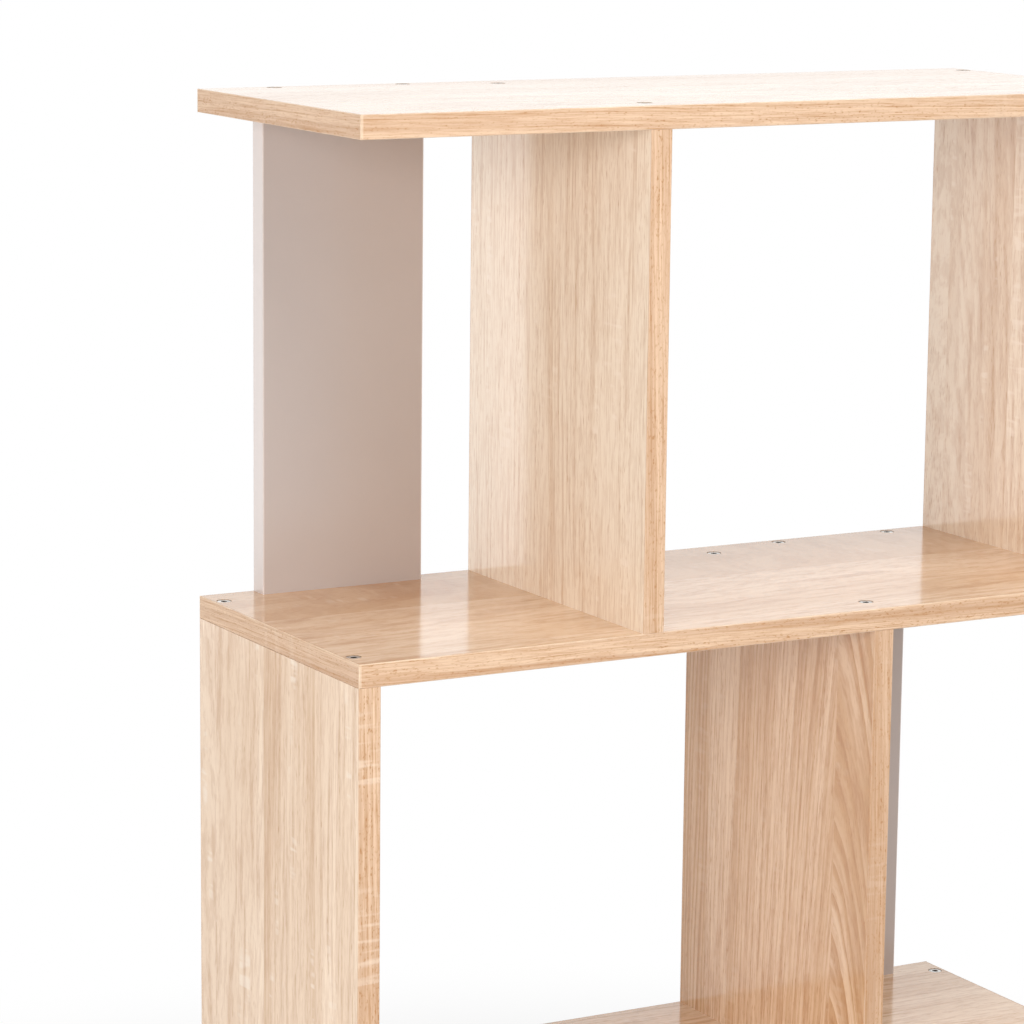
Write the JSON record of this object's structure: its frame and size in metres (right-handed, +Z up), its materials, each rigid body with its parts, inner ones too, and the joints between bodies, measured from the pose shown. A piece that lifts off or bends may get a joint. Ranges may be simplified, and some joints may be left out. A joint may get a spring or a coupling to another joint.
{
  "type": "shelving unit",
  "caption": "Open shelving unit: equal oak-faced shelves on alternating end and inset uprights, with a narrow grey panel at the back of each end bay.",
  "frame": {"origin": "on the floor under the middle of the unit's width and depth", "axes": "+X along the shelves to the right seen from the front, +Y to the back, +Z up"},
  "size_m": [0.635, 0.25, 1.087],
  "materials": {
    "oak_faces": "pale oak decor faces, fine dark pores, satin lacquer",
    "oak_edging": "pale oak decor edge bands with finer streaks, satin",
    "grey_faces": "warm grey melamine faces, smooth satin",
    "grey_edging": "warm grey edge bands, smooth satin",
    "screw_steel": "zinc-plated steel",
    "felt": "pressed brown felt"
  },
  "bodies": {
    "root": {"base_shelf": "oak_faces", "base_shelf_edging": "oak_edging", "base_shelf_screws_up": "screw_steel", "lower_shelf": "oak_faces", "lower_shelf_edging": "oak_edging", "lower_shelf_screws_down": "screw_steel", "lower_shelf_screws_up": "screw_steel", "upper_shelf": "oak_faces", "upper_shelf_edging": "oak_edging", "upper_shelf_screws_down": "screw_steel", "upper_shelf_screws_up": "screw_steel", "top_shelf": "oak_faces", "top_shelf_edging": "oak_edging", "top_shelf_screws_down": "screw_steel", "lower_end_upright": "oak_faces", "lower_end_upright_edging": "oak_edging", "lower_inner_upright": "oak_faces", "lower_inner_upright_edging": "oak_edging", "lower_panel": "grey_faces", "lower_panel_edging": "grey_edging", "middle_end_upright": "oak_faces", "middle_end_upright_edging": "oak_edging", "middle_inner_upright": "oak_faces", "middle_inner_upright_edging": "oak_edging", "middle_panel": "grey_faces", "middle_panel_edging": "grey_edging", "upper_end_upright": "oak_faces", "upper_end_upright_edging": "oak_edging", "upper_inner_upright": "oak_faces", "upper_inner_upright_edging": "oak_edging", "upper_panel": "grey_faces", "upper_panel_edging": "grey_edging", "base_pads": "felt"}
  },
  "joints": []
}
